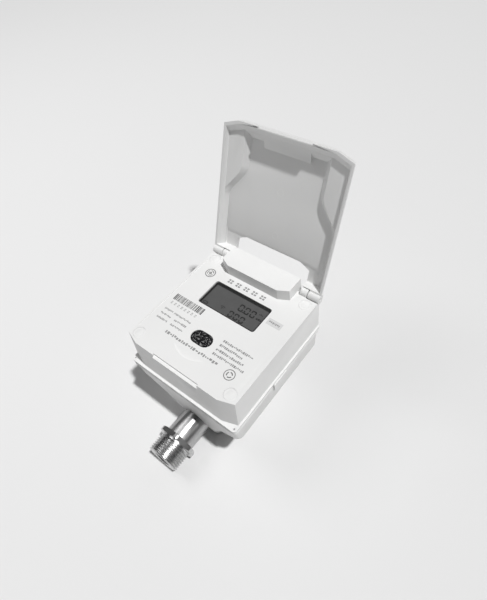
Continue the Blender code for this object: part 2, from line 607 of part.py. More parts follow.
def build_upper_housing():
    top = cut_corner_outline(PANEL_HALF_W, PANEL_FRONT, PANEL_BACK, PANEL_CUT_X, PANEL_CUT_Y)
    foot = cut_corner_outline(PANEL_HALF_W, PANEL_FRONT - FRONT_DRAFT, PANEL_BACK, PANEL_CUT_X, PANEL_CUT_Y)
    shell = prism("upper_housing", foot, FLANGE_Z + FLANGE_T / 2, PANEL_Z, WHITE, top=top)
    flange = prism("flange", rounded_outline(FLANGE_HALF_W, FLANGE_FRONT, FLANGE_BACK, FLANGE_CORNER_R),
                   FLANGE_Z, FLANGE_TOP_Z)
    hump = prism("hump", hump_outline(), PANEL_Z - BAY_DEPTH, PANEL_Z + HUMP_H, top=hump_outline(-HUMP_DRAFT))
    ledge = box("latch_ledge", (-LATCH_HALF_W, LATCH_LEDGE_FRONT, PANEL_Z - LATCH_DEPTH - LATCH_LEDGE_T),
                (LATCH_HALF_W, LATCH_BACK, PANEL_Z - LATCH_DEPTH / 2))
    join(shell, flange, hump, ledge, *hinge_lugs())
    inset = UPPER_WALL_T
    cavity_foot = cut_corner_outline(PANEL_HALF_W - inset, PANEL_FRONT - FRONT_DRAFT + inset,
                                     PANEL_BACK - inset, PANEL_CUT_X, PANEL_CUT_Y)
    cavity_top = cut_corner_outline(PANEL_HALF_W - inset, PANEL_FRONT + inset, PANEL_BACK - inset,
                                    PANEL_CUT_X, PANEL_CUT_Y)
    cavity = prism("upper_cavity", cavity_foot, FLANGE_Z - 1 * MM, PANEL_Z - PANEL_T, top=cavity_top)
    for x, y in CORNERS:
        cut(cavity, rod(f"upper_boss_{x:.3f}_{y:.3f}", BOSS_R, (x, y, 0), PANEL_Z, segments=16))
    for x, y in PCB_POSTS:
        post = rod(f"pcb_post_{x:.3f}_{y:.3f}", PCB_POST_R, (x, y, PCB_Z + GAP), PANEL_Z - PCB_Z, segments=16)
        cut(cavity, post)
    hump_room = prism("hump_room", hump_outline(-HUMP_WALL_T - HUMP_DRAFT, HUMP_BACK),
                      PANEL_Z - BAY_DEPTH + HUMP_WALL_T, PANEL_Z + HUMP_H - HUMP_WALL_T)
    cut(shell, cavity, hump_room)
    cut(shell, box("latch_notch", (-LATCH_HALF_W - GAP, PANEL_FRONT - 3 * MM, PANEL_Z - LATCH_DEPTH),
                   (LATCH_HALF_W + GAP, LATCH_BACK, PANEL_Z + 1 * MM)))
    cut_display_and_port(shell)
    cut_corner_holes(shell)
    cut_hinge_holes(shell)
    for x, y in PCB_POSTS:
        cut(shell, rod(f"post_bore_{x:.3f}_{y:.3f}", PCB_SCREW_R + GAP, (x, y, PCB_Z), PCB_SCREW_LENGTH,
                       segments=12))
    for side in (-1, 1):
        place = (side * SEAL_HOLE_X, SEAL_HOLE_Y, FLANGE_TOP_Z - SEAL_HOLE_DEPTH)
        cut(shell, rod(f"seal_hole_{side}", SEAL_HOLE_R, place, FLANGE_T, segments=12))
    join(shell, *stop_ribs())


def hinge_lugs():
    """Two lugs on the back edge of the panel, either side of the hump."""
    lugs = []
    for side in (-1, 1):
        x0, x1 = sorted((side * LUG_X0, side * LUG_X1))
        lugs.append(rod(f"lug_{side}", LUG_R, (x0, HINGE_Y, HINGE_Z), x1 - x0, "X", segments=24))
        lugs.append(box(f"lug_web_{side}", (x0, HINGE_Y - LUG_R, PANEL_Z - PANEL_T),
                        (x1, HINGE_Y + 1 * MM, HINGE_Z)))
    return lugs


def stop_ribs():
    """Wedges behind the panel that the open lid's arms rest on."""
    ribs = []
    slope = OPEN_ANGLE - math.pi / 2
    start = PANEL_BACK - 0.35 * MM
    # The arm's end face, turned open, lies EAR_R from the hinge axis and leans by slope.
    face_z = HINGE_Z - (EAR_R + GAP) / math.cos(slope)
    z0 = face_z - (start - HINGE_Y) * math.tan(slope)
    z1 = face_z - (start + STOP_REACH - HINGE_Y) * math.tan(slope)
    outline = [(start, z0), (start + STOP_REACH, z1), (start + STOP_REACH, z1 - 1 * MM), (start, z0 - 8 * MM)]
    for side in (-1, 1):
        x0, x1 = sorted((side * (LUG_X1 + 2.5 * MM), side * (PANEL_HALF_W - 2 * MM)))
        ribs.append(side_prism(f"stop_rib_{side}", outline, x0, x1))
    return ribs


def cut_display_and_port(shell):
    window = prism("display_opening", rounded_outline(WINDOW_HALF_W, WINDOW_Y - WINDOW_HALF_D,
                                                      WINDOW_Y + WINDOW_HALF_D, 1.8 * MM),
                   PANEL_Z - 2 * PANEL_T, PANEL_Z + 1 * MM)
    port = prism("ir_opening", stadium_outline(IR_X, IR_Y, IR_HALF_L, IR_R),
                 PANEL_Z - 2 * PANEL_T, PANEL_Z + 1 * MM)
    cut(shell, window, port)


def cut_corner_holes(shell):
    for x, y in CORNERS:
        tag = f"{x:.3f}_{y:.3f}"
        depth = HEAD_DEPTH + 0.1 * MM
        cut(shell,
            rod(f"plug_seat_{tag}", PLUG_R + GAP, (x, y, PANEL_Z - PLUG_T - GAP), 5 * MM, segments=20),
            rod(f"head_well_{tag}", SCREW_HEAD_R + GAP, (x, y, PANEL_Z - depth), depth, segments=20),
            rod(f"shank_hole_{tag}", SCREW_R + GAP, (x, y, FLANGE_Z - 1 * MM), UPPER_WALL_H, segments=16))


def cut_hinge_holes(shell):
    for side in (-1, 1):
        x0, x1 = sorted((side * (LUG_X1 + GAP), side * (LID_HALF_W + 2 * MM)))
        relief = rod(f"ear_relief_{side}", EAR_R + EAR_CLEARANCE, (x0, HINGE_Y, HINGE_Z), x1 - x0, "X",
                     segments=24)
        p0, p1 = sorted((side * (LUG_X0 + PIN_INSET - GAP), side * (LUG_X1 + 1 * MM)))
        hole = rod(f"lug_hole_{side}", PIN_R + PIN_CLEARANCE, (p0, HINGE_Y, HINGE_Z), p1 - p0, "X",
                   segments=20)
        cut(shell, relief, hole)


def build_gasket():
    """Flat seal between the two flanges."""
    _, half_w, front, back, radius = LOWER_LEVELS[0]
    inner_inset = GASKET_INSET + GASKET_W
    outer = rounded_outline(half_w - GASKET_INSET, front + GASKET_INSET, back - GASKET_INSET, radius)
    inner = rounded_outline(half_w - inner_inset, front + inner_inset, back - inner_inset, 1 * MM)
    z = LOWER_RIM_Z + GAP
    gasket = prism("flange_gasket", outer, z, z + GASKET_T, RUBBER)
    cut(gasket, prism("gasket_middle", inner, z - 1 * MM, z + GASKET_T + 1 * MM))


def build_case_screws():
    for index, (x, y) in enumerate(CORNERS, 1):
        build_screw(f"case_screw_{index}", (x, y, PANEL_Z - HEAD_DEPTH + GAP), SCREW_R, SCREW_HEAD_R,
                    SCREW_HEAD_H, SCREW_LENGTH, 16)
        rod(f"screw_plug_{index}", PLUG_R, (x, y, PANEL_Z - PLUG_T), PLUG_T, material=WHITE, segments=20)


# ---------------------------------------------------------------- display, port and electronics
def window_outline(grow, radius):
    return rounded_outline(WINDOW_HALF_W + grow, WINDOW_Y - WINDOW_HALF_D - grow,
                           WINDOW_Y + WINDOW_HALF_D + grow, radius)


def build_display():
    under = PANEL_Z - PANEL_T
    prism("display_window", window_outline(-GAP, 1.5 * MM), under, PANEL_Z - WINDOW_DEPTH, CLEAR)
    top = under - GAP
    bottom = PCB_Z + GAP
    bezel = prism("display_bezel", window_outline(BEZEL_BORDER, 2 * MM), bottom, top, BLACK)
    cut(bezel, prism("bezel_opening", window_outline(-BEZEL_LIP, 1 * MM), bottom - 1 * MM, top + 1 * MM))
    glass_top = top - GAP
    prism("lcd_glass", window_outline(-BEZEL_LIP - GAP, 0.8 * MM), glass_top - LCD_T, glass_top, GLASS)
    strip_y = WINDOW_Y - WINDOW_HALF_D + 3.2 * MM
    box("lcd_contact_strip", (-20 * MM, strip_y - 0.9 * MM, PCB_Z + GAP),
        (20 * MM, strip_y + 0.9 * MM, glass_top - LCD_T - GAP), RUBBER)


def build_ir_port():
    """Dark window of the optical port, and the emitter and receiver under it."""
    under = PANEL_Z - PANEL_T - GAP
    window = prism("ir_window", stadium_outline(IR_X, IR_Y, IR_HALF_L - GAP, IR_R - GAP), under - 0.5 * MM,
                   PANEL_Z - 0.2 * MM, BLACK)
    flange = prism("ir_flange", stadium_outline(IR_X, IR_Y, IR_HALF_L + 1.5 * MM, IR_R + 1.5 * MM),
                   under - 1.2 * MM, under)
    join(window, flange)
    for name, side in (("ir_emitter", -1), ("ir_receiver", 1)):
        place = (IR_X + side * LED_SPACING / 2, IR_Y, PCB_Z + GAP)
        rod(name, LED_R, place, PCB_BELOW_PANEL - PANEL_T - 1.2 * MM - 3 * GAP, material=BLACK, segments=16)


def build_boards():
    board = box("circuit_board", (-PCB_HALF_W, PCB_FRONT, PCB_Z - PCB_T), (PCB_HALF_W, PCB_BACK, PCB_Z),
                BOARD)
    for index, (x, y) in enumerate(PCB_POSTS, 1):
        cut(board, rod(f"board_hole_{index}", PCB_SCREW_R + GAP, (x, y, PCB_Z - 2 * PCB_T), 3 * PCB_T,
                       segments=12))
        build_screw(f"board_screw_{index}", (x, y, PCB_Z - PCB_T - GAP), PCB_SCREW_R, PCB_SCREW_HEAD_R,
                    PCB_SCREW_HEAD_H, PCB_SCREW_LENGTH, 12, down=False)
    under = PCB_Z - PCB_T - GAP
    box("radio_module", (7 * MM, 6 * MM, under - 3 * MM), (28 * MM, 24 * MM, under), GREY)
    cap_r = 6.2 * MM
    rod("storage_capacitor", cap_r, (20 * MM, -26 * MM, under - cap_r), 26 * MM, "Y", CAP, 20)
    bay_floor = PANEL_Z - BAY_DEPTH + HUMP_WALL_T
    aerial_y = HUMP_BACK - HUMP_DRAFT - HUMP_WALL_T - 0.5 * MM
    aerial_half = HUMP_HALF_W - 6 * MM
    box("antenna_board", (-aerial_half, aerial_y - 1 * MM, bay_floor + GAP),
        (aerial_half - 8 * MM, aerial_y, PANEL_Z + HUMP_H - HUMP_WALL_T - 2 * GAP), BOARD)


def battery_height():
    return PIPE_Z + PORT_TOP + BATTERY_ABOVE_PORT + BATTERY_R


def cradle_floor():
    return battery_height() - BATTERY_R - GAP - CRADLE_T


def build_battery():
    z = battery_height()
    half = BATTERY_LENGTH / 2
    rod("battery", BATTERY_R, (BATTERY_X, -half, z), BATTERY_LENGTH, "Y", CELL, 24)
    reach = BATTERY_R + GAP + CRADLE_T
    end = half + GAP + CRADLE_T
    cradle = box("battery_cradle", (BATTERY_X - reach, -end, cradle_floor()),
                 (BATTERY_X + reach, end, z - 4 * MM), GREY)
    cut(cradle, rod("cradle_trough", BATTERY_R + GAP, (BATTERY_X, -half - GAP, z), BATTERY_LENGTH + 2 * GAP,
                    "Y"))


def build_lead(name, points, radius):
    """Wire through a few points, made solid with closed ends."""
    curve = bpy.data.curves.new(name, "CURVE")
    curve.dimensions = "3D"
    curve.bevel_depth = radius
    curve.bevel_resolution = 2
    curve.use_fill_caps = True
    spline = curve.splines.new("POLY")
    spline.points.add(len(points) - 1)
    for point, place in zip(spline.points, points):
        point.co = (*place, 1)
    bent = bpy.data.objects.new(name, curve)
    meter.objects.link(bent)
    bpy.context.view_layer.update()
    evaluated = bent.evaluated_get(bpy.context.evaluated_depsgraph_get())
    mesh = bpy.data.meshes.new_from_object(evaluated)
    bpy.data.objects.remove(bent, do_unlink=True)
    bm = bmesh.new()
    bm.from_mesh(mesh)
    bmesh.ops.remove_doubles(bm, verts=bm.verts, dist=0.000001)
    bmesh.ops.recalc_face_normals(bm, faces=bm.faces)
    bm.to_mesh(mesh)
    bm.free()
    mesh.materials.clear()
    add_object(name, mesh, WIRE, 50)


def build_leads():
    start = PIPE_Z + PORT_TOP - RETAINER_H
    end = PCB_Z - PCB_T - 0.9 * MM
    for tag, side in (("front", -1), ("rear", 1)):
        y = side * PORT_Y
        build_lead(f"sensor_lead_{tag}", [(0, y, start), (0, y, start + 8 * MM), (3 * MM, y, start + 18 * MM),
                                          (3 * MM, y - side * 3 * MM, end - 8 * MM),
                                          (3 * MM, y - side * 3 * MM, end)], 0.8 * MM)


# ---------------------------------------------------------------- lid
def step_outline(step_shift, side_shift, front, back):
    """Middle of the lid: narrow in front, widening past an S-shaped step to the sides."""
    widest = LID_SIDE_X + side_shift
    right = [(LID_STEP_X + step_shift, front)]
    for k in range(9):
        share = k / 8
        ease = share * share * (3 - 2 * share)
        x = LID_STEP_X + (LID_SIDE_X - LID_STEP_X) * ease + step_shift
        right.append((min(x, widest), LID_STEP_START + (LID_STEP_END - LID_STEP_START) * share))
    right.append((widest, back))
    return right + [(-x, y) for x, y in reversed(right)]


def at_height(outline, z):
    return [(x, y, z) for x, y in outline]


def lean(height, slope=LID_SLOPE):
    """How far a sloping wall stands out at a height below the lid's inner face."""
    return (LID_H - LID_T - height) * slope


def build_lid_shell(floor, rear):
    """Outside of the lid as one solid, closed."""
    edge = floor + LID_EDGE_H
    pad_top = PANEL_Z + LID_PAD_H
    top = PANEL_Z + LID_H
    lean_in = (pad_top - edge) * LID_SLOPE
    rim = cut_corner_outline(LID_HALF_W, PANEL_FRONT, rear, PANEL_CUT_X, PANEL_CUT_Y)
    low = cut_corner_outline(LID_HALF_W - lean_in, PANEL_FRONT + 0.3 * MM, rear, PANEL_CUT_X, PANEL_CUT_Y)
    lid = loft("lid", [at_height(low, pad_top), at_height(rim, edge), at_height(rim, floor)], WHITE)
    wall = 2.2 * MM
    sections = []
    for z, front in ((LID_H, PANEL_FRONT + LID_FRONT_BACK), (LID_FRONT_H, PANEL_FRONT),
                     (LID_PAD_H - 1.5 * MM, PANEL_FRONT)):
        step = lean(z - LID_T, LID_STEP_RUN) + LID_STEP_WALL
        sections.append(at_height(step_outline(step, lean(z) + wall, front, rear), PANEL_Z + z))
    middle = loft("lid_middle", sections)
    rise = [(LID_RISE_Y - 2 * MM, top - LID_T / 2), (LID_RISE_Y - 2 * MM, top),
            (LID_RISE_Y + 2 * MM, top + LID_REAR_RISE), (rear, top + LID_REAR_RISE), (rear, top - LID_T / 2)]
    half = LID_SIDE_X + lean(LID_H) + wall - 0.6 * MM
    join(lid, middle, side_prism("lid_rise", rise, -half, half))
    return lid


def hollow_lid(lid, floor):
    """Tray inside the lid: a shallow part, a deep middle and the rear strip."""
    pad = PANEL_Z + LID_PAD_H - LID_T
    inner = PANEL_Z + LID_H - LID_T
    open_z = floor - 1 * MM
    rim_front = PANEL_FRONT + LID_EDGE_T
    fall = (LID_INNER_FRONT - rim_front) / (inner - floor)
    shallow = []
    for z in (pad, open_z):
        half = LID_HALF_W - LID_EDGE_T - (z - floor) * LID_SLOPE
        front = rim_front + (z - floor) * fall
        shallow.append(at_height(cut_corner_outline(half, front, ARM_SOLID_Y, PANEL_CUT_X, PANEL_CUT_Y), z))
    deep = []
    for z in (inner, pad - 0.5 * MM):
        front = rim_front + (z - floor) * fall + 0.2 * MM
        height = z - PANEL_Z
        outline = step_outline(lean(height, LID_STEP_RUN), lean(height), front, ARM_SOLID_Y)
        deep.append(at_height(outline, z))
    below = LID_REAR_RISE / 4
    strip = [(LID_RISE_Y - 3 * MM, inner - 1 * MM), (LID_RISE_Y - 3 * MM, inner - below),
             (LID_RISE_Y + 2 * MM, inner + LID_REAR_RISE), (ARM_SOLID_Y, inner + LID_REAR_RISE),
             (ARM_SOLID_Y, inner - 1 * MM)]
    half = LID_SIDE_X - 0.5 * MM
    cut(lid, loft("lid_shallow", shallow), loft("lid_deep", deep),
        side_prism("lid_strip", strip, -half, half))
    foot = (FINGER_FOOT, inner + LID_T / 2)
    finger = [(rim_front - 0.8 * MM, floor + 2 * MM), (FINGER_FOOT, inner - 0.4 * MM), foot,
              (rim_front + 2 * MM, inner + LID_T / 2), (rim_front - 0.8 * MM, floor + 4 * MM)]
    join(lid, side_prism("finger_wedge", finger, -FINGER_HALF_W, FINGER_HALF_W))


def arm_profile(top, rear):
    """Everything behind and below the lid's arms, in Y and Z."""
    start = math.asin(-(HINGE_ABOVE_PANEL - GAP) / EAR_R)
    first = math.pi - start
    points = [(HINGE_Y + EAR_R * math.cos(first), HINGE_Z - 8 * MM)]
    for k in range(13):
        angle = first + (2 * math.pi - first) * k / 12
        points.append((HINGE_Y + EAR_R * math.cos(angle), HINGE_Z + EAR_R * math.sin(angle)))
    for k in range(6):
        angle = math.pi / 2 * k / 5
        points.append((rear - LID_REAR_ROUND * (1 - math.cos(angle)),
                       top - LID_REAR_ROUND * (1 - math.sin(angle))))
    reach = 8 * MM
    points += [(rear - LID_REAR_ROUND, top + reach), (rear + reach, top + reach),
               (rear + reach, HINGE_Z - 8 * MM)]
    return points


def build_lid():
    """Lid, modelled closed and then turned open about its hinge."""
    floor = PANEL_Z + GAP
    rear = HINGE_Y + EAR_R
    top = PANEL_Z + LID_H + LID_REAR_RISE
    lid = build_lid_shell(floor, rear + 1 * MM)
    hollow_lid(lid, floor)
    tab = box("latch_tab", (-LATCH_HALF_W, PANEL_FRONT + 0.1 * MM, PANEL_Z - LATCH_DEPTH + GAP),
              (LATCH_HALF_W, PANEL_FRONT + 0.1 * MM + LATCH_T, floor + 1 * MM))
    join(lid, tab)
    inner_x = LUG_X1 + ARM_GAP
    outer_x = LID_HALF_W - 0.4 * MM
    for side in (-1, 1):
        x0, x1 = sorted((side * inner_x, side * outer_x))
        join(lid, box(f"arm_{side}", (x0, HINGE_Y - EAR_R + 0.4 * MM, HINGE_Z - EAR_R - 1 * MM),
                      (x1, rear + 0.5 * MM, HINGE_Z + 3 * MM)))
    cut(lid, side_prism("arm_rear", arm_profile(top, rear), -60 * MM, 60 * MM))
    notch = prism("hump_notch", hump_outline(LID_NOTCH_GAP, HUMP_BACK + 8 * MM), PANEL_Z - 8 * MM,
                  top + 2 * MM)
    cut(lid, notch)
    for side in (-1, 1):
        x0, x1 = sorted((side * (HUMP_HALF_W - 1 * MM), side * inner_x))
        cut(lid, box(f"lug_room_{side}", (x0, HINGE_Y - LUG_R - ARM_GAP, PANEL_Z - 8 * MM),
                     (x1, rear + 8 * MM, top + 3 * MM)))
        x0, x1 = sorted((side * (inner_x - 1 * MM), side * (LID_HALF_W + 1 * MM)))
        cut(lid, rod(f"pin_hole_{side}", PIN_R + PIN_CLEARANCE, (x0, HINGE_Y, HINGE_Z), x1 - x0, "X",
                     segments=20))
    return lid


def hang_on_hinge(parts):
    """Parent the lid to an empty on the hinge axis and swing it open."""
    hinge = bpy.data.objects.new("lid_hinge", None)
    hinge.location = (0, HINGE_Y, HINGE_Z)
    meter.objects.link(hinge)
    for part in parts:
        part.parent = hinge
        part.matrix_parent_inverse = Matrix.Translation((0, -HINGE_Y, -HINGE_Z))
    hinge.rotation_euler = (-OPEN_ANGLE, 0, 0)


def build_hinge_pins():
    for tag, side in (("left", -1), ("right", 1)):
        x0, x1 = sorted((side * (LUG_X0 + PIN_INSET), side * (LID_HALF_W - 1.6 * MM)))
        rod(f"hinge_pin_{tag}", PIN_R, (x0, HINGE_Y, HINGE_Z), x1 - x0, "X", STEEL, 20)


# ---------------------------------------------------------------- the meter
build_connector("inlet_connector", FRONT_END_Y, 1)
build_connector("outlet_connector", REAR_END_Y, -1)
build_flow_tube()
build_flow_insert()
for tag, side in (("front", -1), ("rear", 1)):
    build_mirror(f"mirror_{tag}", side)
    build_transducer(tag, side)
build_lower_housing()
build_neck_seals()
build_saddles()
build_gasket()
build_upper_housing()
build_case_screws()
build_display()
build_ir_port()
build_boards()
build_battery()
build_leads()
build_hinge_pins()
lid = build_lid()
lid_cutters = [modifier.object for modifier in lid.modifiers]
hang_on_hinge([lid] + lid_cutters)
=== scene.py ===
"""Looks for the ultrasonic water meter: finer pieces, materials, camera and light over the CAD frame."""
import math
import random

import bmesh
import bpy
from mathutils import Matrix, Vector


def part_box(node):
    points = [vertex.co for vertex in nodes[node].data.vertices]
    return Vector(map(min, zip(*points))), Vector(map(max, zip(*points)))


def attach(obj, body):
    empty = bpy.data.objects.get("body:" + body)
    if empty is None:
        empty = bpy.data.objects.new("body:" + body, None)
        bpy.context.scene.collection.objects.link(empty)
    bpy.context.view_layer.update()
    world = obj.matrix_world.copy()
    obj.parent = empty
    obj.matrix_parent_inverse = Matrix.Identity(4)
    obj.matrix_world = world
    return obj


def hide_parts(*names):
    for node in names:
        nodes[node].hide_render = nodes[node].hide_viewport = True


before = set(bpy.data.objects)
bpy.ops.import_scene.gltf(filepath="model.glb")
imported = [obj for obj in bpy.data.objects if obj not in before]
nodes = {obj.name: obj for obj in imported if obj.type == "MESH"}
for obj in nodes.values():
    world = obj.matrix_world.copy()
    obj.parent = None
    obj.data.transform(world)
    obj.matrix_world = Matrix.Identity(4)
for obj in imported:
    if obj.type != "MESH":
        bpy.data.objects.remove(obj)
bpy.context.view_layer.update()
MM = 0.001
scene = bpy.context.scene

# ---------------------------------------------------------------- sizes read from the frame
_, plug_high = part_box("screw_plug_1")
PANEL_Z = plug_high[2]
window_low, window_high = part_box("display_window")
inlet_low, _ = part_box("inlet_connector")
_, outlet_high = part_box("outlet_connector")
tube_low, tube_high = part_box("measuring_tube")
PIPE_Z = 18.5 * MM
PIPE_R = (tube_high[0] - tube_low[0]) / 2
HINGE = (0.0, 0.0506, 0.0976)
OPEN = math.radians(109.8)


# ---------------------------------------------------------------- camera
AZIMUTH, ELEVATION, ROLL = math.radians(45.88), math.radians(50.88), math.radians(-9.99)
DISTANCE, ASIDE, ABOVE = 307.2 * MM, 15.12 * MM, 12.92 * MM
TARGET = Vector((0, 0, 77.91 * MM + PIPE_Z))
FOCAL_PIXELS, IMAGE_HEIGHT, SENSOR = 438.95, 600, 36.0


def make_camera():
    """Camera fitted to the view: azimuth 45.9, elevation 50.9, with a slight roll."""
    level = math.cos(ELEVATION)
    back = Vector((math.sin(AZIMUTH) * level, -math.cos(AZIMUTH) * level, math.sin(ELEVATION)))
    right = Vector((math.cos(AZIMUTH), math.sin(AZIMUTH), 0))
    up = back.cross(right)
    turned_right = right * math.cos(ROLL) + up * math.sin(ROLL)
    turned_up = up * math.cos(ROLL) - right * math.sin(ROLL)
    place = TARGET + back * DISTANCE + turned_right * ASIDE + turned_up * ABOVE
    data = bpy.data.cameras.new("camera")
    data.sensor_width = SENSOR
    data.sensor_fit = "AUTO"
    data.lens = FOCAL_PIXELS / IMAGE_HEIGHT * SENSOR
    data.clip_start = 0.01
    camera = bpy.data.objects.new("camera", data)
    scene.collection.objects.link(camera)
    axes = Matrix((turned_right, turned_up, back)).transposed().to_4x4()
    axes.translation = place
    camera.matrix_world = axes
    scene.camera = camera


make_camera()
scene.view_settings.view_transform = "Standard"


# ---------------------------------------------------------------- materials
class Shader:
    """Small helper that builds a node material step by step."""

    def __init__(self, name):
        self.material = bpy.data.materials.new(name)
        self.material.use_nodes = True
        self.tree = self.material.node_tree
        self.bsdf = self.tree.nodes["Principled BSDF"]
        self.coords = self.tree.nodes.new("ShaderNodeTexCoord").outputs["Object"]
        self.normal = None

    def add(self, kind, **values):
        """New node with its properties set."""
        node = self.tree.nodes.new(kind)
        for key, value in values.items():
            setattr(node, key, value)
        return node

    def link(self, output, target):
        self.tree.links.new(output, target)

    def noise(self, scale, detail=4.0, rough=0.55, coords=None):
        """Noise in object space, from 0 to 1."""
        node = self.add("ShaderNodeTexNoise")
        node.inputs["Scale"].default_value = scale
        node.inputs["Detail"].default_value = detail
        node.inputs["Roughness"].default_value = rough
        self.link(coords or self.coords, node.inputs["Vector"])
        return node.outputs["Fac"]

    def stretch(self, x, y, z):
        """Object coordinates scaled along each axis, for lines in one direction."""
        node = self.add("ShaderNodeMapping")
        node.inputs["Scale"].default_value = (x, y, z)
        self.link(self.coords, node.inputs["Vector"])
        return node.outputs["Vector"]

    def ramp(self, fac, low, high, a, b):
        """From a to b as fac goes from low to high."""
        node = self.add("ShaderNodeValToRGB")
        node.color_ramp.elements[0].position = low
        node.color_ramp.elements[1].position = high
        node.color_ramp.elements[0].color = (*a, 1) if isinstance(a, tuple) else (a, a, a, 1)
        node.color_ramp.elements[1].color = (*b, 1) if isinstance(b, tuple) else (b, b, b, 1)
        self.link(fac, node.inputs["Fac"])
        return node.outputs["Color"]

    def mix(self, fac, a, b):
        """Colour mix; fac, a and b are node outputs, numbers or colours."""
        node = self.add("ShaderNodeMix", data_type="RGBA")
        for value, index in ((fac, 0), (a, 6), (b, 7)):
            if isinstance(value, (float, int)):
                node.inputs[index].default_value = value
            elif isinstance(value, tuple):
                node.inputs[index].default_value = (*value, 1)
            else:
                self.link(value, node.inputs[index])
        return node.outputs[2]

    def bump(self, height, strength, distance):
        """Adds one bump on top of those already there."""
        node = self.add("ShaderNodeBump")
        node.inputs["Strength"].default_value = strength
        node.inputs["Distance"].default_value = distance
        self.link(height, node.inputs["Height"])
        if self.normal is not None:
            self.link(self.normal, node.inputs["Normal"])
        self.normal = node.outputs["Normal"]
        self.link(self.normal, self.bsdf.inputs["Normal"])

    def edge_wear(self, radius=0.0006):
        """Near 1 on convex edges and 0 on flats."""
        bevel = self.add("ShaderNodeBevel", samples=4)
        bevel.inputs["Radius"].default_value = radius
        geometry = self.add("ShaderNodeNewGeometry")
        dot = self.add("ShaderNodeVectorMath", operation="DOT_PRODUCT")
        self.link(bevel.outputs["Normal"], dot.inputs[0])
        self.link(geometry.outputs["Normal"], dot.inputs[1])
        return self.ramp(dot.outputs["Value"], 0.80, 0.995, 1.0, 0.0)

    def set(self, **values):
        """Sets or links the shader's inputs, with _ for a space in their names."""
        for key, value in values.items():
            target = self.bsdf.inputs[key.replace("_", " ")]
            if isinstance(value, tuple):
                target.default_value = (*value, 1)
            elif isinstance(value, (float, int)):
                target.default_value = value
            else:
                self.link(value, target)
        return self


def moulded_plastic(name, colour, dust=0.03, rough=0.42):
    """Moulded plastic: faint clouding, fine moulded grain, a little grime and duller edges."""
    s = Shader(name)
    dark = tuple(c * (1 - dust) for c in colour)
    cloud = s.mix(s.ramp(s.noise(28, 5), 0.35, 0.7, 0.0, 1.0), colour, dark)
    specks = s.ramp(s.noise(900, 2, 0.7), 0.72, 0.80, 0.0, 0.35)
    base = s.mix(specks, cloud, tuple(c * 0.82 for c in colour))
    edge = s.edge_wear()
    light = tuple(min(1.0, c * 1.05) for c in colour)
    s.set(Base_Color=s.mix(edge, base, light))
    s.set(Roughness=s.ramp(s.noise(60, 6), 0.3, 0.75, rough - 0.05, rough + 0.09))
    s.bump(s.noise(1400, 3, 0.6), 0.10, 0.00004)
    s.bump(s.noise(45, 3), 0.06, 0.0004)
    s.set(IOR=1.49)
    return s.material


def turned_steel(name, colour, rough, lines=(1, 1, 1), strength=0.25):
    """Turned or ground steel with fine tool lines, faint stains and scratches."""
    s = Shader(name)
    tool = s.noise(900, 3, 0.6, s.stretch(*lines))
    stain = s.ramp(s.noise(30, 4, 0.5), 0.45, 0.8, 0.0, 1.0)
    s.set(Base_Color=s.mix(stain, colour, tuple(c * 0.88 for c in colour)), Metallic=1.0)
    scratch = s.ramp(s.noise(200, 2, 0.7, s.stretch(4, 0.3, 4)), 0.64, 0.70, 0.0, 0.5)
    smooth = s.ramp(s.noise(90, 4), 0.3, 0.8, rough, rough + 0.08)
    s.set(Roughness=s.mix(scratch, smooth, (rough + 0.12,) * 3))
    s.bump(tool, strength, 0.000012)
    return s.material


def plain(name, colour, rough=0.5, grain=700, strength=0.12, vary=0.12, **more):
    """Rubber, print, sleeves and the like: slight clouding and a fine grain."""
    s = Shader(name)
    cloud = s.ramp(s.noise(70, 5), 0.3, 0.75, 0.0, 1.0)
    s.set(Base_Color=s.mix(cloud, colour, tuple(c * (1 - vary) for c in colour)))
    s.set(Roughness=s.ramp(s.noise(160, 4), 0.3, 0.8, max(rough - 0.06, 0.02), rough + 0.08))
    s.bump(s.noise(grain, 3), strength, 0.00005)
    s.set(**more)
    return s.material


def smoked_window(name):
    """Dark see-through moulding, with pale glints painted into its colour as highlights on the parts behind
    it.
    """
    s = Shader(name)
    # pale specks painted into the base colour: painted highlights standing for glints
    painted_glints = s.ramp(s.noise(750, 3, 0.7), 0.55, 0.62, 0.0, 1.0)
    s.set(Base_Color=s.mix(painted_glints, (0.010, 0.010, 0.011), (0.30, 0.30, 0.30)))
    s.set(Roughness=s.ramp(s.noise(160, 3), 0.3, 0.8, 0.10, 0.2), Coat_Weight=0.6, Coat_Roughness=0.05)
    s.bump(s.noise(420, 3, 0.7), 0.35, 0.0002)
    return s.material


def circuit_board(name):
    """Solder mask over traces."""
    s = Shader(name)
    brick = s.add("ShaderNodeTexBrick")
    brick.inputs["Scale"].default_value = 260
    brick.inputs["Mortar Size"].default_value = 0.06
    brick.inputs["Color1"].default_value = (0.02, 0.16, 0.06, 1)
    brick.inputs["Color2"].default_value = (0.025, 0.19, 0.07, 1)
    brick.inputs["Mortar"].default_value = (0.06, 0.30, 0.12, 1)
    s.link(s.coords, brick.inputs["Vector"])
    s.set(Base_Color=brick.outputs["Color"], Roughness=0.35)
    s.bump(brick.outputs["Fac"], 0.3, 0.00005)
    return s.material


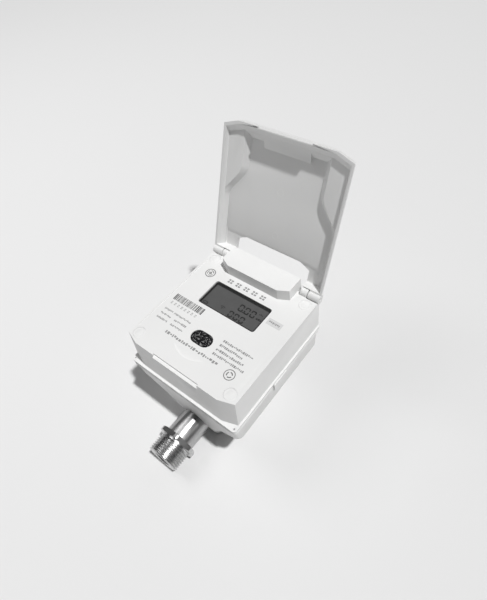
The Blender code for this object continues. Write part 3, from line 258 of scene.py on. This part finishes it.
WHITE = moulded_plastic("white_case", (0.80, 0.80, 0.795))
WHITE_LID = moulded_plastic("white_lid", (0.79, 0.79, 0.785), rough=0.38)
PLUG = moulded_plastic("white_plug", (0.76, 0.76, 0.755), rough=0.45)
STEEL = turned_steel("tube_steel", (0.50, 0.50, 0.50), 0.33, (0.15, 4, 0.15))
THREAD = turned_steel("thread_steel", (0.56, 0.56, 0.56), 0.27, (0.2, 4, 0.2), 0.05)
SMALL_STEEL = turned_steel("small_steel", (0.58, 0.58, 0.58), 0.28)
RUBBER = plain("rubber", (0.02, 0.02, 0.02), 0.75, grain=1200, strength=0.3)
GASKET = plain("gasket_rubber", (0.16, 0.16, 0.16), 0.7, grain=1200, strength=0.3)
IR = smoked_window("dark_window")
BLACK = plain("black_plastic", (0.02, 0.02, 0.02), 0.38)
LCD = plain("lcd_grey", (0.105, 0.105, 0.105), 0.22, grain=2500, strength=0.05, vary=0.10,
            Coat_Weight=0.5, Coat_Roughness=0.08)
INK_AND_SHADE = plain("display_ink_and_shade", (0.012, 0.012, 0.012), 0.4)
PRINT = plain("grey_print", (0.17, 0.17, 0.17), 0.6, vary=0.25)
PRINT_DARK = plain("dark_print", (0.06, 0.06, 0.06), 0.6, vary=0.25)
PALE_PRINT_AND_SHADE = plain("pale_print_and_shade", (0.30, 0.30, 0.30), 0.6, vary=0.2)
LABEL = plain("grey_label", (0.66, 0.66, 0.66), 0.5, vary=0.06)
BOARD = circuit_board("solder_mask")
CELL = plain("battery_sleeve", (0.05, 0.16, 0.40), 0.3)
GREY = plain("grey_plastic", (0.40, 0.40, 0.41), 0.5)
CAPACITOR = plain("capacitor_sleeve", (0.03, 0.035, 0.06), 0.3)
CERAMIC = plain("transducer", (0.62, 0.56, 0.42), 0.5)
WIRE = plain("wire_jacket", (0.50, 0.03, 0.02), 0.45)


def paint(name, material):
    """Gives a carried-over CAD node its material."""
    obj = nodes[name]
    if not obj.material_slots:
        obj.data.materials.append(material)
    for slot in obj.material_slots:
        slot.link = "OBJECT"
        slot.material = material


PAINTS = {
    "flange_gasket": GASKET, "ir_window": IR, "display_bezel": BLACK,
    "lcd_glass": LCD, "display_window": LCD, "lcd_contact_strip": RUBBER, "circuit_board": BOARD,
    "antenna_board": BOARD, "battery": CELL, "battery_cradle": GREY, "radio_module": SMALL_STEEL,
    "flow_insert": GREY, "strainer": GREY, "storage_capacitor": CAPACITOR, "ir_emitter": BLACK,
    "ir_receiver": BLACK,
}
for node in nodes:
    if node in PAINTS:
        paint(node, PAINTS[node])
    elif node.startswith("screw_plug"):
        paint(node, PLUG)
    elif "screw" in node or node.startswith(("mirror", "retainer", "pipe_saddle", "hinge_pin")):
        paint(node, SMALL_STEEL)
    elif node.startswith("transducer"):
        paint(node, CERAMIC)
    elif node.startswith("sensor_lead"):
        paint(node, WIRE)
    elif node.startswith(("neck_seal", "o_ring")):
        paint(node, RUBBER)


# ---------------------------------------------------------------- pieces
MERGE_DISTANCE = 0.002 * MM
FLAT_ANGLE = math.radians(1.0)      # faces closer than this are made one
INK_ROOT = 0.05 * MM                # print reaches this far into its surface


def add_piece(name, mesh, material, body="meter", smooth=30):
    """A visible piece on its body, shaded smooth up to an angle in degrees, or flat at 0."""
    obj = bpy.data.objects.new(name, mesh)
    scene.collection.objects.link(obj)
    mesh.materials.clear()
    mesh.materials.append(material)
    if smooth:
        mesh.shade_smooth()
        mesh.set_sharp_from_angle(angle=math.radians(smooth))
    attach(obj, body)
    return obj


def whole_faces(node):
    """The node's own shape, with its points joined and its flat faces made whole."""
    bm = bmesh.new()
    bm.from_mesh(nodes[node].data)
    bmesh.ops.remove_doubles(bm, verts=bm.verts, dist=MERGE_DISTANCE)
    bmesh.ops.dissolve_limit(bm, angle_limit=FLAT_ANGLE, verts=bm.verts, edges=bm.edges)
    return bm


def softened(node, name, material, body, width, segments=3, angle=24):
    """A finer copy of a housing part, with a small radius on every edge."""
    mesh = bpy.data.meshes.new(name)
    bm = whole_faces(node)
    bm.to_mesh(mesh)
    bm.free()
    obj = add_piece(name, mesh, material, body)
    obj.matrix_world = nodes[node].matrix_world.copy()
    bevel = obj.modifiers.new("round", "BEVEL")
    bevel.width = width
    bevel.segments = segments
    bevel.limit_method = "ANGLE"
    bevel.angle_limit = math.radians(angle)
    bevel.use_clamp_overlap = True
    bevel.harden_normals = True
    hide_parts(node)
    return obj


def bake(obj, cutters):
    """Works out the piece's modifiers, with the cutters taken away from it, into its own mesh."""
    for index, cutter in enumerate(cutters):
        mod = obj.modifiers.new(f"groove_{index}", "BOOLEAN")
        mod.operation = "DIFFERENCE"
        mod.solver = "EXACT"
        mod.object = cutter
    bpy.context.view_layer.update()
    finished = obj.evaluated_get(bpy.context.evaluated_depsgraph_get())
    shape = bpy.data.meshes.new_from_object(finished)
    obj.modifiers.clear()
    obj.data = shape
    for cutter in cutters:
        bpy.data.objects.remove(cutter, do_unlink=True)


def add_prism(bm, outline, z0, z1):
    """One closed prism over an outline; z0 and z1 are heights, or functions of (x, y)."""
    level = [h if callable(h) else (lambda x, y, h=h: h) for h in (z0, z1)]
    low = [bm.verts.new((x, y, level[0](x, y))) for x, y in outline]
    high = [bm.verts.new((x, y, level[1](x, y))) for x, y in outline]
    bm.faces.new(list(reversed(low)))
    bm.faces.new(high)
    for i in range(len(outline)):
        j = (i + 1) % len(outline)
        bm.faces.new((low[i], low[j], high[j], high[i]))


def circle(bm, centre, radius, z, steps=64):
    """Level ring of points."""
    x, y = centre
    angles = [math.tau * k / steps for k in range(steps)]
    return [bm.verts.new((x + radius * math.cos(a), y + radius * math.sin(a), z)) for a in angles]


def skin(bm, loops, closed=True):
    """Faces between each ring of points and the next, and from the last back to the first if closed."""
    for a, b in zip(loops, loops[1:] + loops[:1] if closed else loops[1:]):
        for k in range(len(a)):
            n = (k + 1) % len(a)
            bm.faces.new((a[k], a[n], b[n], b[k]))


def add_ring(bm, centre, inner, outer, z0, z1, steps=64):
    """One closed flat ring."""
    edges = ((inner, z0), (outer, z0), (outer, z1), (inner, z1))
    skin(bm, [circle(bm, centre, radius, z, steps) for radius, z in edges])


def to_mesh(bm, name):
    """Closes the bmesh into a mesh with its faces turned outwards."""
    bmesh.ops.recalc_face_normals(bm, faces=bm.faces)
    mesh = bpy.data.meshes.new(name)
    bm.to_mesh(mesh)
    bm.free()
    return mesh


def rectangle(x0, y0, x1, y1):
    """Outline from one corner to the other."""
    return [(x0, y0), (x1, y0), (x1, y1), (x0, y1)]


def rounded(x0, y0, x1, y1, radius, steps=8):
    """Outline of a rectangle with round corners."""
    points = []
    for cx, cy, start in ((x1 - radius, y0 + radius, -90), (x1 - radius, y1 - radius, 0),
                          (x0 + radius, y1 - radius, 90), (x0 + radius, y0 + radius, 180)):
        for k in range(steps + 1):
            angle = math.radians(start + 90 * k / steps)
            points.append((cx + radius * math.cos(angle), cy + radius * math.sin(angle)))
    return points


def arc_band(centre, radius, width, start, end, steps=16):
    """Outline of a curved stroke."""
    x, y = centre
    angles = [math.radians(start + (end - start) * k / steps) for k in range(steps + 1)]
    far, near = radius + width / 2, radius - width / 2
    outer = [(x + far * math.cos(a), y + far * math.sin(a)) for a in angles]
    inner = [(x + near * math.cos(a), y + near * math.sin(a)) for a in reversed(angles)]
    return outer + inner


def broken_ring(centre, radius, width, start, sweep):
    """Three curved strokes, evenly round a centre."""
    return [arc_band(centre, radius, width, start + 120 * k, start + sweep + 120 * k) for k in range(3)]


def printed(name, outlines, material, surface=PANEL_Z, height=0.025 * MM, rings=()):
    """Ink marks, and the grey discs of painted shade in the seal holes: thin closed prisms standing just
    proud of the surface they sit on.
    """
    bm = bmesh.new()
    for outline in outlines:
        add_prism(bm, [(x * MM, y * MM) for x, y in outline], surface - INK_ROOT, surface + height)
    for (x, y), inner, outer in rings:
        add_ring(bm, (x * MM, y * MM), inner * MM, outer * MM, surface - INK_ROOT, surface + height)
    add_piece(name, to_mesh(bm, name), material, smooth=0)


# ---------------------------------------------------------------- housings
SCOOP_CENTRE, SCOOP_R = (-1.3 * MM, -18.4 * MM), 20.2 * MM
SCOOP_CHORD_Y = -33.6 * MM          # where the scoop runs out on the panel
SCOOP_DEPTH = 1.0 * MM
SCOOP_EDGE = 0.002 * MM             # keeps the scoop's shallow end under the panel
SIDE_LINE_X = (-46.7 * MM, -46.0 * MM)
SIDE_LINE_Y = (-37 * MM, 38 * MM)
SIDE_LINE_DEPTH = 0.4 * MM
CUTTER_TOP = PANEL_Z + 1 * MM


def groove_cutters():
    """Finger scoop behind the front edge, and the fine line beside the left edge."""
    cx, cy = SCOOP_CENTRE
    half = math.acos((cy - SCOOP_CHORD_Y) / SCOOP_R)
    angles = [half * (k / 12 - 1) for k in range(25)]
    arc = [(cx + SCOOP_R * math.sin(a), cy - SCOOP_R * math.cos(a)) for a in angles]
    slope = SCOOP_DEPTH / (SCOOP_CHORD_Y - (cy - SCOOP_R))
    scoop = bmesh.new()
    add_prism(scoop, arc, lambda x, y: PANEL_Z - slope * (SCOOP_CHORD_Y - y) - SCOOP_EDGE, CUTTER_TOP)
    line = bmesh.new()
    outline = rectangle(SIDE_LINE_X[0], SIDE_LINE_Y[0], SIDE_LINE_X[1], SIDE_LINE_Y[1])
    add_prism(line, outline, PANEL_Z - SIDE_LINE_DEPTH, CUTTER_TOP)
    cutters = []
    for name, bm in (("scoop", scoop), ("line", line)):
        cutter = bpy.data.objects.new(name, to_mesh(bm, name))
        scene.collection.objects.link(cutter)
        cutters.append(cutter)
    return cutters


upper = softened("upper_housing", "upper_case", WHITE, "meter", 0.55 * MM)
bake(upper, groove_cutters())
softened("lower_housing", "lower_case", WHITE, "meter", 0.5 * MM)
softened("lid", "lid_shell", WHITE_LID, "lid", 0.45 * MM)


def smooth_copy(node, name, material):
    """The same shape with its round faces shaded smooth."""
    piece = add_piece(name, to_mesh(whole_faces(node), name), material)
    piece.matrix_world = nodes[node].matrix_world.copy()
    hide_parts(node)


smooth_copy("measuring_tube", "tube_body", STEEL)

PLUG_FIT = 0.22 * MM                # cap wider than the CAD plug, to close its seat
PLUG_DROP = 0.06 * MM               # cap below the panel
# steps from the cap's edge to its middle, in mm: inward, and down from its top
PLUG_PROFILE = ((0, 0.25), (0.07, 0.07), (0.25, 0), (1.3, 0), (1.45, 0.05), (1.6, 0))


def build_plugs():
    """Caps over the case screws: close in their seats, with a small round edge and a faint ring."""
    for index in range(1, 5):
        low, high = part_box(f"screw_plug_{index}")
        centre = ((low[0] + high[0]) / 2, (low[1] + high[1]) / 2)
        radius = (high[0] - low[0]) / 2 + PLUG_FIT
        top = high[2] - PLUG_DROP
        bm = bmesh.new()
        loops = [circle(bm, centre, radius, low[2])]
        loops += [circle(bm, centre, radius - inward * MM, top - down * MM) for inward, down in PLUG_PROFILE]
        bm.faces.new(list(reversed(loops[0])))
        bm.faces.new(loops[-1])
        skin(bm, loops, closed=False)
        plug = add_piece(f"plug_cap_{index}", to_mesh(bm, f"plug_cap_{index}"), WHITE)
        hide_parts(f"screw_plug_{index}")


build_plugs()


# ---------------------------------------------------------------- threaded ends
THREAD_R, ROOT_R, PITCH, LEAD, TURNS = 13.22 * MM, 12.06 * MM, 1.814 * MM, 0.9 * MM, 7
RELIEF, COLLAR, SPIGOT = 1.6 * MM, 3.8 * MM, 8.0 * MM
THREAD_END = LEAD + TURNS * PITCH
BORE_R, SPIGOT_R = 7.5 * MM, PIPE_R - 2.0 * MM - 0.3 * MM
FLAT_R, CORNER_R, COLLAR_TURN = 14.75 * MM, 16.2 * MM, math.radians(11.6)
COLLAR_EDGE, COLLAR_CHAMFER = 0.45 * MM, 2.2
COLLAR_STATIONS = (0, 0.15, 0.3, 0.46, 1.9, 3.34, 3.5, 3.65, 3.8)    # mm along the collar
NECK_R = ROOT_R - 0.15 * MM         # the turned-down neck between thread and collar
COLLAR_SEAT_R = ROOT_R - 0.13 * MM
CREST_SHARE, FLANK_SHARE = 0.18, 0.66
START_SLOPE, RUNOUT_SLOPE = 1.1, 1.4
MOUTH_CHAMFER = 0.5 * MM
STEP = 0.02 * MM                    # keeps two loops from falling on each other
AROUND, THREAD_STEPS = 120, 100


def thread_radius(y, turn):
    """Radius of the helical thread at a distance from the end face and a share of a full turn."""
    phase = ((y - LEAD) / PITCH - turn) % 1.0
    away = abs(phase - 0.5) * 2
    radius = THREAD_R - (THREAD_R - ROOT_R) * min(1.0, max(0.0, (away - CREST_SHARE) / FLANK_SHARE))
    radius = min(radius, NECK_R + y * START_SLOPE)
    return max(NECK_R, min(radius, ROOT_R + (THREAD_END + 0.4 * MM - y) * RUNOUT_SLOPE))


def collar_radius(y, angle):
    """Hexagon with its corners turned down and both faces chamfered."""
    from_corner = (angle - (math.pi / 2 - COLLAR_TURN)) % (math.pi / 3)
    flat = FLAT_R / math.cos(from_corner - math.pi / 6)
    return min(flat, CORNER_R, FLAT_R + COLLAR_EDGE + COLLAR_CHAMFER * min(y, COLLAR - y))


def build_coupling(name, node, end_y, direction):
    """Threaded end with its bore, helical thread, neck, collar and the spigot inside the tube."""
    bm = bmesh.new()

    def loop(y, radius_at):
        """Ring of points at y from the end face; radius_at takes an angle and its share of a turn."""
        ring = []
        for k in range(AROUND):
            angle = math.tau * k / AROUND
            radius = radius_at(angle, k / AROUND)
            ring.append(bm.verts.new((radius * math.cos(angle), end_y + direction * y,
                                      PIPE_Z + radius * math.sin(angle))))
        return ring

    def round_loop(y, radius):
        return loop(y, lambda a, t: radius)

    start = THREAD_END + RELIEF
    end = start + COLLAR
    loops = [round_loop(MOUTH_CHAMFER, BORE_R), round_loop(0, BORE_R + MOUTH_CHAMFER)]
    for k in range(THREAD_STEPS + 1):
        y = (THREAD_END + 0.5 * MM) * k / THREAD_STEPS
        loops.append(loop(y, lambda a, t, y=y: thread_radius(y, t)))
    for y, radius in ((end - STEP, NECK_R), (end - STEP, SPIGOT_R), (end + SPIGOT, SPIGOT_R),
                      (end + SPIGOT, BORE_R)):
        loops.append(round_loop(y, radius))
    skin(bm, loops)
    collar = [loop(start + y * MM, lambda a, t, y=y: collar_radius(y * MM, a)) for y in COLLAR_STATIONS]
    collar += [round_loop(end, COLLAR_SEAT_R), round_loop(start, COLLAR_SEAT_R)]
    skin(bm, collar)
    coupling = add_piece(name, to_mesh(bm, name), THREAD, smooth=20)
    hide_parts(node)


build_coupling("inlet_coupling", "inlet_connector", inlet_low[1], 1)
build_coupling("outlet_coupling", "outlet_connector", outlet_high[1], -1)


# ---------------------------------------------------------------- printing on the panel, with painted shade in the seal holes and round the display
# Places and sizes are in mm on the panel, from its middle; SEAL_HOLE_FLOOR is a height in metres.
draw = random.Random(7)
TEXT_ROWS = ((-16.3, ((-33.5, -32),)), (-20.6, ((-31.5, -28),)), (-24.8, ((-31.5, -28),)))
TEXT_X = (-41.2, -16.5)
WIDE_ROW = (-26.2, 20.0, -31.3)
RATING_ROWS = ((-14.6, 38.0), (-18.4, 32.0), (-22.2, 35.3), (-26.0, 38.8))
RATING_X = 13.0
SEAL_HOLE_X, SEAL_HOLE_Y = 47.6, -50.8
# depth where the grey discs of painted shade sit in the seal holes
SEAL_HOLE_FLOOR = PANEL_Z - 28.68 * MM
BARS_X, BARS_Y = (-42.3, -14.6, -14.3), (-6.2, -0.5)
ROUND_MARK, ROUND_SEAL = (-35.1, 28.4), (32.6, -31.5)
LABEL_BOX, LABEL_T = (27.6, 13.7, 39.3, 19.1), 0.03 * MM
# share of a figure's width and height: from, to
SEGMENTS = ((0, 1, 1, 1), (1, 0.5, 1, 1), (1, 0, 1, 0.5), (0, 0, 1, 0), (0, 0, 0, 0.5), (0, 0.5, 0, 1))
BORDER_GAP, BORDER_RADIUS, GLASS_RADIUS = 0.02, 1.45, 1.0
# border widths in mm: partly the black bezel, partly painted shade of the recess walls, so wider at the left
# and rear
BORDER_LEFT, BORDER_FRONT, BORDER_RIGHT, BORDER_REAR = 1.9, 0.9, 1.0, 2.2
BORDER_PROUD = 0.06 * MM
FIGURE_SLANT = -0.06
WAVES = (-6.6, 6.6)


def block_row(x0, x1, y, height=1.5, mean=0.75, gap=0.35, blanks=()):
    """A row of small plain blocks, in place of printed words."""
    marks, x = [], x0
    while x < x1 - 0.3:
        width = mean * draw.uniform(0.6, 1.4)
        top = y + height * draw.choice((1.0, 0.75))
        foot = y + height * draw.choice((0.0, 0.0, 0.3))
        if not any(a < x < b for a, b in blanks):
            marks.append(rectangle(x, foot, x + width, top))
        x += width + gap
    return marks


def zero(x, y, width, height, stroke, slant=0.0):
    """Seven-segment nought as separate bars."""
    outlines = []
    for u0, v0, u1, v1 in SEGMENTS:
        if v0 == v1:
            foot = 0 if v0 == 0 else height - stroke
            bar = rectangle(u0 * width + stroke * 0.6, foot, u1 * width - stroke * 0.6, foot + stroke)
        else:
            left = 0 if u0 == 0 else width - stroke
            bar = rectangle(left, v0 * height + stroke * 0.55, left + stroke, v1 * height - stroke * 0.55)
        outlines.append([(x + u + slant * v, y + v) for u, v in bar])
    return outlines


def print_panel():
    """All the marks on the panel, and grey discs of painted shade in the holes for the sealing wire."""
    rows = []
    for y, blanks in TEXT_ROWS:
        rows += block_row(*TEXT_X, y, blanks=blanks)
    rows += block_row(*WIDE_ROW, height=2.2, mean=1.5, gap=0.7)
    for y, x1 in RATING_ROWS:
        rows += block_row(RATING_X, x1, y, height=1.8, mean=0.95, gap=0.45)
    printed("panel_rows", rows, PALE_PRINT_AND_SHADE)
    # grey discs at the floor of the seal holes: painted shade, where the holes look dark
    for side, tag in ((-1, "left"), (1, "right")):
        printed(f"seal_hole_shade_{tag}", [], PALE_PRINT_AND_SHADE, surface=SEAL_HOLE_FLOOR,
                rings=(((side * SEAL_HOLE_X, SEAL_HOLE_Y), 0.02, 0.62),))
    title = []
    for k in range(5):
        x, y = -18.4 + 7.35 * k, 28.3 + 0.1 * k
        for column in (0, 2.4):
            for row in (0, 2.1):
                title.append(rectangle(x + column, y + row, x + column + 1.7, y + row + 1.4))
    printed("panel_heading", title, PALE_PRINT_AND_SHADE)
    (x, last_x, end_x), (foot, top) = BARS_X, BARS_Y
    bars = []
    while x < last_x:
        width = draw.choice((0.32, 0.45, 0.7, 0.95))
        bars.append(rectangle(x, foot, min(x + width, end_x), top))
        x += width + draw.choice((0.4, 0.6, 0.85))
    printed("panel_bars", bars, PRINT_DARK)
    digits = []
    for k in range(8):
        digits += zero(-41.1 + 3.3 * k, -10.1, 1.25, 2.1, 0.28)
    printed("panel_digits", digits, PRINT)
    printed("round_mark", broken_ring(ROUND_MARK, 2.35, 0.6, 20, 90), PRINT,
            rings=((ROUND_MARK, 3.5, 4.15), (ROUND_MARK, 0.4, 1.2)))
    printed("round_seal", broken_ring(ROUND_SEAL, 1.9, 0.75, 15, 90), PRINT, rings=((ROUND_SEAL, 3.45, 4.0),))
    printed("label_patch", [rounded(*LABEL_BOX, 0.3)], LABEL, height=LABEL_T)
    printed("label_rows", block_row(29.0, 37.9, 15.6, height=1.6, mean=0.9, gap=0.4), PALE_PRINT_AND_SHADE,
            surface=PANEL_Z + LABEL_T)


def build_display_face():
    """Dark border round the glass, partly the black bezel and partly painted shade where the recess walls
    stand, and the figures on it.
    """
    x0, x1, y0, y1 = (v / MM for v in (window_low[0], window_high[0], window_low[1], window_high[1]))
    z = window_high[2]
    outer = rounded(x0 + BORDER_GAP, y0 + BORDER_GAP, x1 - BORDER_GAP, y1 - BORDER_GAP, BORDER_RADIUS)
    inner = rounded(x0 + BORDER_LEFT, y0 + BORDER_FRONT, x1 - BORDER_RIGHT, y1 - BORDER_REAR, GLASS_RADIUS)
    bm = bmesh.new()
    low, high = z - INK_ROOT, z + BORDER_PROUD
    levels = ((inner, low), (outer, low), (outer, high), (inner, high))
    skin(bm, [[bm.verts.new((x * MM, y * MM, height)) for x, y in outline] for outline, height in levels])
    # dark ring at the glass: the black bezel, with painted shade of the recess walls
    add_piece("display_border_and_shade", to_mesh(bm, "display_border_and_shade"), INK_AND_SHADE, smooth=0)
    marks = []
    for k in range(3):
        marks += zero(3.6 + 5.15 * k, 12.2, 4.0, 6.2, 0.95, FIGURE_SLANT)
        marks += zero(0.5 + 4.9 * k, 4.1, 3.8, 5.6, 0.92, FIGURE_SLANT)
    marks.append(rectangle(7.8, 12.2, 8.6, 13.1))                     # decimal point
    marks += block_row(19.4, 23.0, 17.4, height=1.1, mean=0.8, gap=0.3)
    marks += block_row(19.6, 23.4, 13.0, height=1.6, mean=1.0, gap=0.35)
    marks += [arc_band(WAVES, radius, 0.45, 50, 130) for radius in (2.9, 1.7)]
    marks.append(rectangle(-6.9, 7.0, -6.3, 7.6))                     # dot under the waves
    marks += [rectangle(-22.4, 4.2, -21.9, 6.4), rectangle(-19.0, 4.2, -18.5, 6.4),      # battery sign
              rectangle(-21.85, 5.9, -19.05, 6.4), rectangle(-21.85, 4.2, -19.05, 4.7),
              rectangle(-18.45, 4.8, -18.0, 5.8)]
    printed("display_figures", marks, INK_AND_SHADE, surface=z, height=0.02 * MM)


print_panel()
build_display_face()


# ---------------------------------------------------------------- lid
LID_MARKS = ((-0.5, -10.0), (0.6, 22.0))      # mm, with the lid shut
LID_INNER_Z = PANEL_Z + 6.6 * MM


def lid_marks():
    """Faint ejector marks on the lid's inner face, made as with the lid shut and then opened with it."""
    turn = Matrix.Translation(HINGE) @ Matrix.Rotation(-OPEN, 4, "X") @ Matrix.Translation(-Vector(HINGE))
    bm = bmesh.new()
    low, high = LID_INNER_Z - 0.05 * MM, LID_INNER_Z + 0.1 * MM
    for x, y in LID_MARKS:
        add_ring(bm, (x * MM, y * MM), 2.2 * MM, 2.5 * MM, low, high, 48)
    mesh = to_mesh(bm, "lid_marks")
    mesh.transform(turn)
    add_piece("lid_marks", mesh, WHITE_LID, "lid")


lid_marks()


# ---------------------------------------------------------------- floor and light
FLOOR_SIZE, FLOOR_Z = 60.0, -0.0002
WORLD_LIGHT, WORLD_BACKDROP = 0.03, 0.78      # strength as light, and as seen by the camera
SUN_POWER, SUN_WIDTH, TO_SUN = 2.9, math.radians(2.5), Vector((0.395, 0.013, 0.918))
FILL_POWER, FILL_SIZE = 3.2, 0.60
FILL_AT, FILL_AIM = Vector((-0.62, -0.15, 1.15)), Vector((0, 0, 0.08))


def build_floor():
    """Plain pale floor just under the meter."""
    bpy.ops.mesh.primitive_plane_add(size=FLOOR_SIZE, location=(0, 0, FLOOR_Z))
    floor = bpy.context.active_object
    floor.name = "floor"
    s = Shader("floor")
    s.set(Base_Color=s.mix(s.noise(3, 2), (0.79, 0.79, 0.79), (0.78, 0.78, 0.78)), Roughness=0.9)
    floor.data.materials.append(s.material)


def build_world():
    """Weak even light, with a pale backdrop where the camera sees past the floor."""
    world = bpy.data.worlds.new("world")
    world.use_nodes = True
    tree = world.node_tree
    dim, pale = tree.nodes["Background"], tree.nodes.new("ShaderNodeBackground")
    for background, strength in ((dim, WORLD_LIGHT), (pale, WORLD_BACKDROP)):
        background.inputs["Color"].default_value = (1, 1, 1, 1)
        background.inputs["Strength"].default_value = strength
    both = tree.nodes.new("ShaderNodeMixShader")
    path = tree.nodes.new("ShaderNodeLightPath")
    tree.links.new(path.outputs["Is Camera Ray"], both.inputs[0])
    tree.links.new(dim.outputs[0], both.inputs[1])
    tree.links.new(pale.outputs[0], both.inputs[2])
    tree.links.new(both.outputs[0], tree.nodes["World Output"].inputs[0])
    scene.world = world


def add_lamp(name, kind, power):
    """New lamp in the scene, and its settings."""
    data = bpy.data.lights.new(name, kind)
    data.energy = power
    lamp = bpy.data.objects.new(name, data)
    scene.collection.objects.link(lamp)
    return lamp, data


def build_lamps():
    """One main light from the right, and a weak soft fill from the left."""
    key, sun = add_lamp("key", "SUN", SUN_POWER)
    sun.angle = SUN_WIDTH
    key.rotation_euler = TO_SUN.to_track_quat("Z", "Y").to_euler()
    fill, area = add_lamp("fill", "AREA", FILL_POWER)
    area.size = FILL_SIZE
    fill.location = FILL_AT
    fill.rotation_euler = (FILL_AIM - FILL_AT).to_track_quat("-Z", "Y").to_euler()


build_floor()
build_world()
build_lamps()
